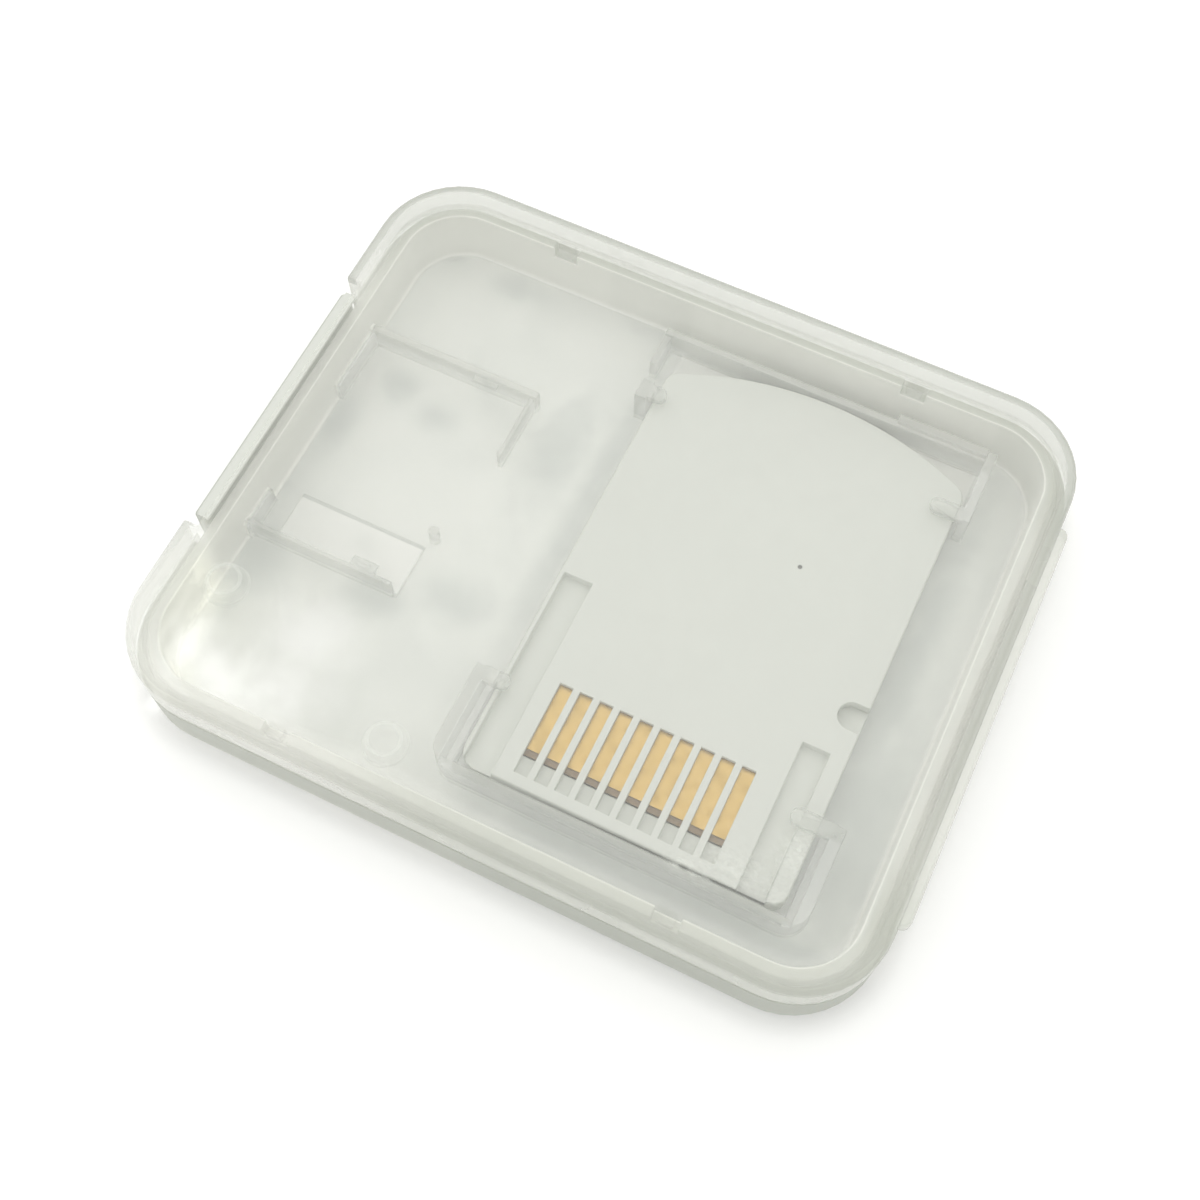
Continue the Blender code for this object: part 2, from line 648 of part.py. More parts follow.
def contact_x(index):
    """Centre of one contact along the row."""
    return CONTACT_ROW_OFFSET + (index - (CONTACT_COUNT - 1) / 2) * CONTACT_PITCH


def contact_windows():
    """Cutters for the windows over the contacts, with a rib left between each pair."""
    low = WINDOW_FROM_FRONT - CARD_LENGTH / 2
    half = WINDOW_WIDTH / 2
    return [box("window", contact_x(index) - half, contact_x(index) + half, low, low + WINDOW_LENGTH,
                CARD_THICKNESS - CARD_SKIN - ROOT, CARD_THICKNESS + OVERRUN)
            for index in range(CONTACT_COUNT)]


def guide_grooves():
    """Cutters for the two grooves that run out at the adapter's front."""
    front = -CARD_LENGTH / 2
    low = CARD_THICKNESS - GROOVE_DEPTH
    high = CARD_THICKNESS + OVERRUN
    left = LEFT_GROOVE_WALL - CARD_WIDTH / 2
    right = CARD_WIDTH / 2 - RIGHT_GROOVE_WALL
    return (box("left_groove", left, left + LEFT_GROOVE_WIDTH, front - OVERRUN,
                front + LEFT_GROOVE_LENGTH, low, high),
            box("right_groove", right - RIGHT_GROOVE_WIDTH, right, front - OVERRUN,
                front + RIGHT_GROOVE_LENGTH, low, high))


def lock_notch():
    """Cutter for the half-round bite in the adapter's right edge."""
    x = CARD_WIDTH / 2 - LOCK_NOTCH_INSET
    y = LOCK_NOTCH_FROM_FRONT - CARD_LENGTH / 2
    tip = arc((x, y), LOCK_NOTCH_RADIUS, math.radians(90), math.radians(270), CORNER_STEPS)
    edge = CARD_WIDTH / 2 + OVERRUN
    outline = tip + [(edge, y - LOCK_NOTCH_RADIUS), (edge, y + LOCK_NOTCH_RADIUS)]
    return prism("lock_notch", outline, 0, CARD_THICKNESS + OVERRUN)


def make_contact_shell(seat):
    """Upper half of the adapter, with the contact windows, the grooves and the notch."""
    low = CARD_THICKNESS / 2 + CARD_FIT / 2
    shell = prism("adapter_contact_shell", card_outline(), low, CARD_THICKNESS,
                  high_radius=CARD_EDGE_RADIUS, finish=white_plastic("contact_shell_plastic"))
    cut(shell, *card_hollows(0, CARD_THICKNESS - CARD_SKIN), *contact_windows(), *guide_grooves(),
        lock_notch())
    seat_on(shell, seat)


def make_label_shell(seat):
    """Lower half of the adapter, which lies on the tray's floor."""
    high = CARD_THICKNESS / 2 - CARD_FIT / 2
    shell = prism("adapter_label_shell", card_outline(), 0, high, low_radius=CARD_EDGE_RADIUS,
                  finish=white_plastic("label_shell_plastic"))
    cut(shell, *card_hollows(CARD_SKIN, CARD_THICKNESS))
    seat_on(shell, seat)


def contact_level():
    """Underside of the contacts, just below the shell's skin."""
    return CARD_THICKNESS - CARD_SKIN - CARD_FIT - CONTACT_THICKNESS


def make_circuit_board(seat):
    """Board that carries the contacts at its front and the springs at its back."""
    half = BOARD_WIDTH / 2
    front = BOARD_FROM_FRONT - CARD_LENGTH / 2
    high = contact_level() - CARD_FIT
    board = box("adapter_circuit_board", BOARD_OFFSET - half, BOARD_OFFSET + half, front,
                front + BOARD_LENGTH, high - BOARD_THICKNESS, high, board_laminate())
    seat_on(board, seat)


def make_controller_chip(seat):
    """Chip on the board's underside."""
    half = CHIP_SIZE / 2
    middle = BOARD_FROM_FRONT + BOARD_LENGTH / 2 - CARD_LENGTH / 2
    high = contact_level() - 2 * CARD_FIT - BOARD_THICKNESS
    chip = box("adapter_controller_chip", BOARD_OFFSET - half, BOARD_OFFSET + half, middle - half,
               middle + half, high - CHIP_THICKNESS, high, chip_resin())
    seat_on(chip, seat)


def make_contacts(seat):
    """The row of plated contacts that shows through the windows."""
    front = CONTACT_FROM_FRONT - CARD_LENGTH / 2
    low = contact_level()
    for index in range(CONTACT_COUNT):
        name = f"adapter_contact_{index + 1:02d}"
        x = contact_x(index)
        contact = box(name, x - CONTACT_WIDTH / 2, x + CONTACT_WIDTH / 2, front,
                      front + CONTACT_LENGTH, low, low + CONTACT_THICKNESS, gold_plate(name + "_gold"))
        seat_on(contact, seat)


def spring_line():
    """Middle line of a slot spring: a flat foot, an easy dip, and a tip turned up."""
    foot_end = BOARD_FROM_FRONT + BOARD_LENGTH - CARD_LENGTH / 2
    level = contact_level() + SPRING_THICKNESS / 2
    points = [Vector((0, foot_end - SPRING_FOOT, level)), Vector((0, foot_end + CARD_FIT, level))]
    for index in range(1, SPRING_STEPS + 1):
        share = index / SPRING_STEPS
        dip = SPRING_DROP * (1 - math.cos(math.pi * share)) / 2
        points.append(Vector((0, foot_end + CARD_FIT + SPRING_REACH * share, level - dip)))
    tip = points[-1] + Vector((0, SPRING_FOOT, SPRING_TIP_RISE))
    return points + [tip]


def make_slot_springs(seat):
    """The row of springs that would touch a micro card in the adapter's slot."""
    line = spring_line()
    half = Vector((0, 0, SPRING_THICKNESS / 2))
    for index in range(SPRING_COUNT):
        x = (index - (SPRING_COUNT - 1) / 2) * SPRING_PITCH
        bm = bmesh.new()
        across = Vector((x - SPRING_WIDTH / 2, 0, 0))
        loop = [across + point + half for point in line]
        loop += [across + point - half for point in reversed(line)]
        face = bm.faces.new([bm.verts.new(point) for point in loop])
        grown = bmesh.ops.extrude_face_region(bm, geom=[face])["geom"]
        far = [item for item in grown if isinstance(item, bmesh.types.BMVert)]
        bmesh.ops.translate(bm, verts=far, vec=(SPRING_WIDTH, 0, 0))
        name = f"adapter_slot_spring_{index + 1}"
        seat_on(body_from(bm, name, spring_bronze(name + "_bronze")), seat)


def card_seat():
    """Empty at the middle of the adapter's underside, in its cradle."""
    seat = bpy.data.objects.new("adapter_seat", None)
    bpy.context.scene.collection.objects.link(seat)
    seat.location = (CARD_X_LOW + CARD_WIDTH / 2, CARD_Y_LOW + CARD_LENGTH / 2, CARD_BASE)
    return seat


def seat_on(piece, seat):
    """Place a piece of the adapter, modelled about the adapter's own centre."""
    finish_shading(piece)
    piece.parent = seat


def make_adapter():
    seat = card_seat()
    make_contact_shell(seat)
    make_label_shell(seat)
    make_circuit_board(seat)
    make_controller_chip(seat)
    make_contacts(seat)
    make_slot_springs(seat)


def main():
    clear_scene()
    make_tray()
    strip = make_hinge_strip()
    make_lid(strip)
    make_adapter()


main()
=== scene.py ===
"""A flat hinged case of clear plastic with a card adapter lying in it, closed, on a white table."""
import json
import math

import bmesh
import bpy
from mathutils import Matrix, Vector


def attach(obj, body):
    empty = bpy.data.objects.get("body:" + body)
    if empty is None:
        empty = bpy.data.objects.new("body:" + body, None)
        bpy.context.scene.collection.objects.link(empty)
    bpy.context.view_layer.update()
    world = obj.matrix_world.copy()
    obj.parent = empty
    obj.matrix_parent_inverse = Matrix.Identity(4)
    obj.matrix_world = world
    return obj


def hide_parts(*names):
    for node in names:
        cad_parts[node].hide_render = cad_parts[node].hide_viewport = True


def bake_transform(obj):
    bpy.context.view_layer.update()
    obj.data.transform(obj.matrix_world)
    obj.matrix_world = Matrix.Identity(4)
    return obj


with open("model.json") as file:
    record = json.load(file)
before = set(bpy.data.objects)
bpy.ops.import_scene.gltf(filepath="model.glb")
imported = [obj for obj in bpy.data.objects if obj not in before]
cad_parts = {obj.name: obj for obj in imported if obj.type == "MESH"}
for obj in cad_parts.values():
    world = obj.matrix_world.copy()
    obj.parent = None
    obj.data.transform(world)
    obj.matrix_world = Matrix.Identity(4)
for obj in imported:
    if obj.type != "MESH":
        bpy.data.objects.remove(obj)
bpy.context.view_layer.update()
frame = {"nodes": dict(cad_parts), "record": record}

MM = 0.001

# Sizes of the case, as in its CAD source
HALF_LENGTH = 23.2 * MM
HALF_DEPTH = 19.7 * MM
CORNER_RADIUS = 5.4 * MM
WALL = 1.7 * MM
FLOOR_TOP = 0.9 * MM
PARTING = 3.2 * MM
LID_UNDERSIDE = 5.1 * MM
CARD_X = (-2.65 * MM, 17.35 * MM)
CARD_Y = (-14.8 * MM, 16.2 * MM)
CARD_TOP = 2.8 * MM
SILL_X = (-19.8 * MM, -11.2 * MM)
SILL_Y = (-6.6 * MM, -3.1 * MM)
SILL_TOP = (1.07 * MM, 1.13 * MM)
EJECTOR_MARKS = ((-19.0 * MM, -11.9 * MM), (-6.0 * MM, -16.4 * MM))
EJECTOR_RADIUS = 1.3 * MM
STRIP_HALF = 8.8 * MM
FOLD_X = -22.85 * MM
HINGE_FACE = -22.2 * MM
FOLD_ROUND = 0.35 * MM
LOWER_FOLD = 1.0 * MM
UPPER_FOLD = 5.0 * MM

# Small marks in the photograph, by their places on the case
# Painted shade in the notch of the rim's near side
NOTCH_SHADE = (-12.03 * MM, -18.1 * MM)
SPECK = (10.17 * MM, 4.83 * MM, CARD_TOP)

# The bright crescent in the near left corner, a painted highlight that the tray glows with: where it
# fades out along X, its ends along Y, and where it fades out away from the foot of the walls
CRESCENT_X = (-19.6 * MM, -18.0 * MM)
CRESCENT_Y = (-16.5 * MM, -11.5 * MM)
CRESCENT_WIDTH = (0.5 * MM, 1.6 * MM)

# Finished meshes: how far sharp edges are rounded, half a web's thickness, and its rows of points
CASE_EDGE = 0.07 * MM
CARD_EDGE = 0.05 * MM
STRIP_EDGE = 0.04 * MM
WEB_HALF = 0.1 * MM
WEB_COLUMNS = 7

# The table lies a hair below the case, and the soft light stands at the far left
TABLE_HALF = 1.5
TABLE_TOP = -0.02 * MM
LIGHT_FROM = Vector((-0.36, 0.42, 0.83))

# The camera, fitted to the adapter's edges in the photograph, with its turns in degrees
SENSOR_MM = 36.0
LENS_MM = 47.174
CAMERA_PLACE = Vector((17.237, -37.736, 87.324)) * MM
CAMERA_TURNS = (24.8791, -0.1437, 25.8279)


# Shader maths

class Value:
    """What comes out of a node's socket, so that masks and colours can be written as sums."""

    def __init__(self, nodes, socket):
        self.nodes = nodes
        self.socket = socket

    def maths(self, operation, *values):
        return self.nodes.add("ShaderNodeMath", {"operation": operation}, dict(enumerate(values)))

    def __add__(self, other):
        return self.maths('ADD', self, other)

    def __radd__(self, other):
        return self.maths('ADD', other, self)

    def __sub__(self, other):
        return self.maths('SUBTRACT', self, other)

    def __rsub__(self, other):
        return self.maths('SUBTRACT', other, self)

    def __mul__(self, other):
        return self.maths('MULTIPLY', self, other)

    def __rmul__(self, other):
        return self.maths('MULTIPLY', other, self)

    def __abs__(self):
        return self.maths('ABSOLUTE', self)

    def __pow__(self, other):
        return self.maths('POWER', self, other)

    def rise(self, low, high):
        """0 below low, 1 above high, smooth between them."""
        settings = {"interpolation_type": 'SMOOTHSTEP'}
        return self.nodes.add("ShaderNodeMapRange", settings, {0: self, 1: low, 2: high})

    def fall(self, low, high):
        return 1.0 - self.rise(low, high)

    def within(self, span, soft):
        """1 between the two ends of a span, fading to 0 over the soft width outside them."""
        low, high = span
        return self.rise(low - soft, low) * self.fall(high, high + soft)

    def at_least(self, other):
        return self.maths('MAXIMUM', self, other)

    def at_most(self, other):
        return self.maths('MINIMUM', self, other)


class Nodes:
    """Adds nodes to one tree and links them."""

    def __init__(self, tree):
        self.tree = tree

    def add(self, kind, settings=None, inputs=None, out=0):
        """One node: its settings first, then the numbers or links of its sockets."""
        node = self.tree.nodes.new(kind)
        for name, setting in (settings or {}).items():
            setattr(node, name, setting)
        for key, value in (inputs or {}).items():
            socket = node.inputs[key]
            if isinstance(value, Value):
                self.tree.links.new(value.socket, socket)
            else:
                socket.default_value = value
        return Value(self, node.outputs[out]) if node.outputs else None

    def place(self):
        """Where a point is on the piece, in metres."""
        return self.add("ShaderNodeTexCoord", out="Object")

    def axes(self):
        split = self.add("ShaderNodeSeparateXYZ", {}, {0: self.place()})
        return [Value(self, split.socket.node.outputs[i]) for i in range(3)]

    def noise(self, size, detail=3.0, stretch=(1, 1, 1), offset=(0, 0, 0), distortion=0.0):
        """Cloudy noise around 0.5, with patches of about the given size in metres."""
        scale = [stretch[i] / size for i in range(3)]
        where = self.add("ShaderNodeMapping", {}, {"Vector": self.place(), "Scale": scale,
                                                   "Location": offset})
        return self.add("ShaderNodeTexNoise", {}, {"Vector": where, "Scale": 1.0, "Detail": detail,
                                                   "Distortion": distortion})

    def blend(self, factor, first, second):
        """The first colour where the factor is 0, the second where it is 1."""
        return self.add("ShaderNodeMix", {"data_type": 'RGBA'}, {0: factor, 6: first, 7: second}, out=2)

    def bump(self, height, strength, distance):
        return self.add("ShaderNodeBump", {}, {"Height": height, "Strength": strength,
                                               "Distance": distance})

    def plastic(self, **inputs):
        """A Principled shader; a socket's name has underscores here where Blender has spaces."""
        return self.add("ShaderNodeBsdfPrincipled", {},
                        {name.replace("_", " "): value for name, value in inputs.items()})

    def mixed(self, factor, first, second):
        return self.add("ShaderNodeMixShader", {}, {0: factor, 1: first, 2: second})


def colour(red, green, blue):
    return (red, green, blue, 1.0)


def new_material(name, build):
    """A material out of the shader that build makes."""
    material = bpy.data.materials.new(name)
    material.use_nodes = True
    tree = material.node_tree
    tree.nodes.clear()
    nodes = Nodes(tree)
    nodes.add("ShaderNodeOutputMaterial", {}, {"Surface": build(nodes)})
    return material


# Finishes

# Grey smudges in the tray's floor, with painted shade along the walls and the adapter's edges: where they
# are along X and Y, and how far they reach each way
SMUDGES_AND_SHADE = (
    (-20.2, 17.0, 1.6, 0.7), (-14.5, 16.8, 2.2, 1.0), (-18.3, 6.7, 1.4, 1.3), (-15.2, 5.6, 1.6, 1.2),
    (-20.6, 2.4, 1.0, 2.6), (-7.2, 7.0, 1.8, 4.0), (-20.3, -8.6, 1.8, 2.6), (-14.8, -4.4, 0.8, 0.7),
    (-8.2, -5.4, 2.2, 1.8), (-12.2, -7.3, 2.0, 1.3), (19.5, -8.0, 2.4, 8.0), (10.0, -18.0, 9.0, 1.6),
    (18.5, 3.0, 1.1, 12.0), (4.0, 18.0, 12.0, 1.2),
    (-3.9, 4.0, 0.9, 12.0), (-21.2, -2.9, 0.5, 0.5), (-20.6, -11.4, 1.2, 1.2),
    (-12.9, 8.5, 0.9, 0.35), (-13.5, -6.3, 0.9, 0.35), (8.0, -17.2, 6.0, 1.2), (-1.0, -16.2, 2.0, 1.0),
)


def clouds(nodes, size, offset):
    """0 where the plastic is clear and 1 in the middle of a grey cloud."""
    return nodes.noise(size, detail=4.0, distortion=0.7, offset=offset).rise(0.42, 0.78)


def spots(nodes, places):
    """1 in the middle of each of the places, fading out raggedly round them."""
    ragged = nodes.noise(2.6 * MM, detail=4.0, offset=(5.0, 1.0, 2.0), distortion=0.5) - 0.5
    total = None
    for x, y, half_x, half_y in places:
        where = nodes.add("ShaderNodeMapping", {"vector_type": 'TEXTURE'},
                          {"Vector": nodes.place(), "Location": (x * MM, y * MM, 0),
                           "Scale": (half_x * MM, half_y * MM, 20 * MM)})
        far = nodes.add("ShaderNodeVectorMath", {"operation": 'LENGTH'}, {0: where}, out="Value")
        spot = (far + 2.0 * ragged).fall(0.0, 1.7)
        total = spot if total is None else total.at_least(spot)
    return total


# Spots where the tray is clearest and painted lighter as a painted highlight, at its near left corner,
# written in the same way
CLEAR_AND_LIT_SPOTS = ((-21.3, -15.4, 1.2, 2.6), (-18.6, -15.6, 2.4, 1.8), (-15.0, -14.6, 3.2, 2.0),
               (-14.8, -11.2, 2.7, 2.0))

# Painted light on the table under the case's clear corner, standing for what that corner gathers there
GLINTS = ((-21.2, -15.0, 1.5, 2.6), (-18.4, -15.8, 3.0, 1.8))

# Whitish flecks of painted reflection in the lid, over the adapter's near right corner
GLARE_FLECKS = ((14.6, -14.6, 2.4, 1.0), (16.8, -12.4, 1.0, 1.6), (12.2, -15.6, 1.6, 0.5))


def depth(nodes):
    """How far a point lies inside the case's rounded outline, in plan."""
    x, y, _ = nodes.axes()
    across = abs(x) - (HALF_LENGTH - CORNER_RADIUS)
    along = abs(y) - (HALF_DEPTH - CORNER_RADIUS)
    beyond_x = across.at_least(0.0)
    beyond_y = along.at_least(0.0)
    beyond = (beyond_x * beyond_x + beyond_y * beyond_y) ** 0.5
    return CORNER_RADIUS - beyond - across.at_least(along).at_most(0.0)


def upright(nodes):
    """1 on faces that stand upright and 0 on faces that lie flat."""
    normal = nodes.add("ShaderNodeTexCoord", out="Normal")
    return 1.0 - abs(nodes.add("ShaderNodeSeparateXYZ", {}, {0: normal}, out="Z"))


def glossed(nodes, plastic, roughness):
    """The plastic with the mirror image that a smooth face adds, stronger at a low angle."""
    facing = nodes.add("ShaderNodeLayerWeight", {}, {"Blend": 0.5}, out="Facing")
    shine = nodes.add("ShaderNodeBsdfGlossy", {}, {"Color": colour(1, 1, 1), "Roughness": roughness})
    return nodes.mixed(0.04 + 0.5 * facing ** 5.0, plastic, shine)


def outside_face(nodes):
    """1 on the outside of the walls and 0 inside them."""
    return depth(nodes).fall(0.1 * MM, 0.3 * MM)


def painted_corner_glint(nodes):
    """1 on the bright crescent along the foot of the walls at the near left corner, a painted highlight."""
    x, y, z = nodes.axes()
    inside = depth(nodes)
    fade_start, fade_end = CRESCENT_WIDTH
    band = inside.rise(WALL - 0.15 * MM, WALL - 0.05 * MM) * inside.fall(WALL + fade_start, WALL + fade_end)
    return band * x.fall(*CRESCENT_X) * y.within(CRESCENT_Y, 2.0 * MM) * z.rise(0.4 * MM, 0.7 * MM)


def painted_rim_shade(nodes):
    """1 on the lid's rounded top edge, where a dark line is painted as shade, weaker on the near side."""
    _, y, z = nodes.axes()
    line = depth(nodes).fall(0.5 * MM, 0.85 * MM) * z.rise(5.2 * MM, 5.5 * MM)
    return line * (0.35 + 0.65 * y.rise(-16 * MM, -4 * MM))


def painted_pale_border(nodes):
    """1 where the walls are painted pale as painted light: inside and at the near left, less at the ends
    and near side.
    """
    x, y, _ = nodes.axes()
    near_left = x.fall(-12 * MM, 4 * MM) * y.fall(-17 * MM, -13 * MM)
    right = x.rise(16 * MM, 20 * MM) * y.rise(-14 * MM, -8 * MM)
    ends = right.at_least(x.fall(-21 * MM, -18 * MM)) * y.fall(10 * MM, 15 * MM)
    inside = depth(nodes).rise(WALL - 0.3 * MM, WALL)
    near = 0.25 * y.fall(-17 * MM, -14 * MM)
    return (0.95 * near_left).at_least(0.6 * ends).at_least(near).at_least(inside)


def border_tint(nodes):
    """Colour of the milky walls, painted pale as painted light in places, and darker low down on the
    outside.
    """
    z = nodes.axes()[2]
    cloud = clouds(nodes, 5.0 * MM, (1.6, 0.2, 2.4))
    tint = nodes.blend(cloud, colour(0.76, 0.78, 0.705), colour(0.72, 0.74, 0.665))
    tint = nodes.blend(painted_pale_border(nodes), tint, colour(1.0, 1.0, 0.95))
    low = outside_face(nodes) * z.fall(PARTING + 0.1 * MM, PARTING + 0.3 * MM)
    return nodes.blend(low, tint, colour(0.60, 0.62, 0.56))


def ejector_rings(nodes):
    """1 on the witness lines round the marks of the ejector pins, which the lid's underside shows."""
    rings = None
    for x, y in EJECTOR_MARKS:
        away = nodes.add("ShaderNodeVectorMath", {"operation": 'DISTANCE'},
                         {0: nodes.place(), 1: (x, y, LID_UNDERSIDE)}, out="Value")
        ring = abs(away - EJECTOR_RADIUS).fall(0.04 * MM, 0.12 * MM)
        rings = ring if rings is None else rings.at_least(ring)
    return rings


def strip_plastic(nodes):
    """The hinge strip and its webs, which are milky all through, with painted shade along the strip's outer
    face.
    """
    cloud = clouds(nodes, 3.0 * MM, (2.6, 0.8, 1.4))
    # Painted shade along the strip's outer face
    outer_edge_shade = nodes.axes()[0].fall(-23.1 * MM, -22.9 * MM)
    tint = nodes.blend(cloud, colour(0.82, 0.84, 0.79), colour(0.75, 0.77, 0.72))
    tint = nodes.blend(0.8 * outer_edge_shade, tint, colour(0.45, 0.47, 0.42))
    return nodes.plastic(Base_Color=tint, Roughness=0.4 + 0.1 * cloud, Alpha=0.85 + 0.1 * cloud)


def lid_plastic(nodes):
    """The lid: clear, a little hazy, with whitish flecks of painted reflection, a dark line of painted
    shade along its top edge, and milky over the walls.
    """
    cloud = clouds(nodes, 6.0 * MM, (0.3, 2.2, 0.9))
    crumbs = nodes.noise(0.5 * MM, detail=3.0, stretch=(1.0, 1.6, 1.0), offset=(2.0, 6.0, 1.0))
    # Painted reflection: whitish flecks over the adapter's near right corner
    glare_fleck = spots(nodes, GLARE_FLECKS) * crumbs.rise(0.4, 0.7)
    clear = spots(nodes, CLEAR_AND_LIT_SPOTS)
    border = depth(nodes).fall(1.1 * MM, 2.6 * MM) * (1.0 - 0.8 * clear)
    skirt = outside_face(nodes) * nodes.axes()[2].fall(5.3 * MM, 5.6 * MM)
    rim = painted_rim_shade(nodes)
    tint = nodes.blend(border, colour(0.84, 0.87, 0.81), border_tint(nodes))
    # Painted shade: a dark line along the lid's rounded top edge
    tint = nodes.blend(0.8 * rim, tint, colour(0.42, 0.44, 0.39))
    wave = nodes.noise(4.0 * MM, detail=1.0)
    haze = 0.07 + 0.03 * cloud + 0.28 * glare_fleck + 0.2 * ejector_rings(nodes)
    cover = (haze + 0.14 * border).at_least(0.45 * skirt).at_least(0.65 * rim)
    plastic = nodes.plastic(Base_Color=tint, Roughness=0.25 + 0.1 * cloud, Alpha=cover,
                            Normal=nodes.bump(wave, 0.15, 0.02 * MM))
    return glossed(nodes, plastic, 0.12)


def painted_shade_lines(nodes):
    """Painted shade lines in the tray: along the edge of the pocket's sill, and in a notch of the rim's
    near side.
    """
    x, y, z = nodes.axes()
    sill = abs(y - (SILL_Y[1] - 0.12 * MM)).fall(0.08 * MM, 0.2 * MM)
    sill = sill * z.within(SILL_TOP, 0.08 * MM) * x.within(SILL_X, 0.3 * MM)
    notch_shade = abs(x - NOTCH_SHADE[0]).fall(0.45 * MM, 0.6 * MM) * abs(y - NOTCH_SHADE[1]).fall(0.4 * MM, 0.55 * MM)
    return (0.7 * sill).at_least(0.9 * notch_shade * z.rise(4.0 * MM, 4.3 * MM))


def sill_top(nodes):
    """1 on the flat top of the pocket's sill."""
    x, y, z = nodes.axes()
    return x.within(SILL_X, 0.3 * MM) * y.within(SILL_Y, 0.2 * MM) * z.within(SILL_TOP, 0.03 * MM)


def nibs_over_card(nodes):
    """1 on the nibs where they reach over the adapter."""
    x, y, z = nodes.axes()
    over = z.rise(CARD_TOP + 0.03 * MM, CARD_TOP + 0.08 * MM)
    return over * x.within(CARD_X, 0.1 * MM) * y.within(CARD_Y, 0.1 * MM)


def painted_light_behind_card(nodes):
    """1 on the tray round the adapter's bowed end and behind it, painted whiter there as painted light
    against its shade.
    """
    x, y, _ = nodes.axes()
    return x.within(CARD_X, 0.6 * MM) * y.rise(11 * MM, 12.5 * MM)


def tray_clouds_and_shade(nodes):
    """How grey the tray's floor looks: faint clouds, the smudges with their painted shade, and painted
    shade in the bay before the card.
    """
    x, y, _ = nodes.axes()
    faint = 0.3 * clouds(nodes, 7.0 * MM, (3.1, 1.7, 0.4))
    smudge = spots(nodes, SMUDGES_AND_SHADE) * (0.55 + 0.35 * nodes.noise(1.4 * MM, detail=3.0))
    # Painted shade in the bay before the adapter's front edge
    front_bay_shade = y.fall(-15.9 * MM, -14.9 * MM) * x.rise(-2.0 * MM, 3.0 * MM)
    return faint.at_least(smudge).at_least(0.9 * front_bay_shade)


def tray_plastic(nodes):
    """The tray: a hazy floor with grey smudges and painted shade, a painted highlight glowing at its near
    left corner, and milkier walls.
    """
    x, _, z = nodes.axes()
    clear = spots(nodes, CLEAR_AND_LIT_SPOTS)
    hazy = 1.0 - clear
    walls = depth(nodes).fall(WALL + 0.05 * MM, WALL + 0.4 * MM) * z.rise(0.3 * MM, 0.7 * MM)
    inner_walls = walls * depth(nodes).rise(WALL - 0.2 * MM, WALL - 0.05 * MM)
    side = upright(nodes) * z.rise(FLOOR_TOP + 0.02 * MM, FLOOR_TOP + 0.07 * MM)
    sill = sill_top(nodes)
    far_bay_light = painted_light_behind_card(nodes)
    nib = nibs_over_card(nodes)
    line = painted_shade_lines(nodes)
    grey = tray_clouds_and_shade(nodes) * hazy

    # Painted light: whiter at the clear, lit spots and behind the adapter's bowed end; the sill's top is
    # whiter too
    white = clear.at_least(far_bay_light).at_least(sill)
    tint = nodes.blend(white, colour(0.965, 0.975, 0.92), colour(1.0, 1.0, 0.96))
    tint = nodes.blend(grey * (1.0 - 0.7 * sill), tint, colour(0.66, 0.695, 0.65))
    tint = nodes.blend(walls * hazy, tint, border_tint(nodes))
    tint = nodes.blend(nib, tint, colour(0.76, 0.78, 0.73))
    shade = side * (0.04 + 0.08 * x.rise(-9.0 * MM, -8.5 * MM)) * (1.0 - far_bay_light)
    shade = shade.at_least(0.4 * nib * side).at_least(line)
    tint = nodes.blend(shade, tint, colour(0.42, 0.45, 0.41))

    cover = 0.45 - 0.15 * z.rise(1.15 * MM, 1.5 * MM) + 0.04 * side
    cover = cover.at_least(0.6 * walls).at_least(0.85 * inner_walls * hazy)
    cover = cover.at_least(0.8 * outside_face(nodes)).at_least(0.85 * line).at_least(0.6 * sill)
    cover = cover.at_least(0.7 * far_bay_light * z.fall(1.0 * MM, 1.3 * MM))
    # Painted highlight: the bright crescent at the near left corner glows from the tray
    glow = nodes.blend(painted_corner_glint(nodes), colour(0, 0, 0), colour(0.26, 0.26, 0.20))
    return nodes.plastic(Base_Color=tint, Roughness=0.35 + 0.1 * grey, Alpha=cover * (1.0 - 0.3 * clear),
                         Emission_Color=glow, Emission_Strength=1.0)


def card_plastic(nodes):
    """The adapter's shells: white plastic with a fine matt grain."""
    shade = nodes.noise(5.0 * MM, detail=4.0)
    tint = nodes.blend(shade, colour(0.705, 0.72, 0.675), colour(0.68, 0.695, 0.65))
    speck = nodes.add("ShaderNodeVectorMath", {"operation": 'DISTANCE'},
                      {0: nodes.place(), 1: SPECK}, out="Value")
    tint = nodes.blend(speck.fall(0.1 * MM, 0.18 * MM), tint, colour(0.08, 0.075, 0.07))
    grain = nodes.noise(0.12 * MM, detail=2.0)
    return nodes.plastic(Base_Color=tint, Roughness=0.5 + 0.12 * grain,
                         Normal=nodes.bump(grain, 0.3, 0.003 * MM))


def plated_gold(nodes):
    """The contacts: gold plating with faint rolling lines and duller patches."""
    wear = nodes.noise(0.8 * MM, detail=4.0).rise(0.4, 0.75)
    lines = nodes.noise(0.05 * MM, detail=1.0, stretch=(1, 0.05, 1))
    tint = nodes.blend(wear, colour(0.65, 0.435, 0.13), colour(0.57, 0.375, 0.09))
    return nodes.plastic(Base_Color=tint, Metallic=1.0, Roughness=0.35 + 0.15 * wear,
                         Normal=nodes.bump(lines, 0.2, 0.005 * MM))


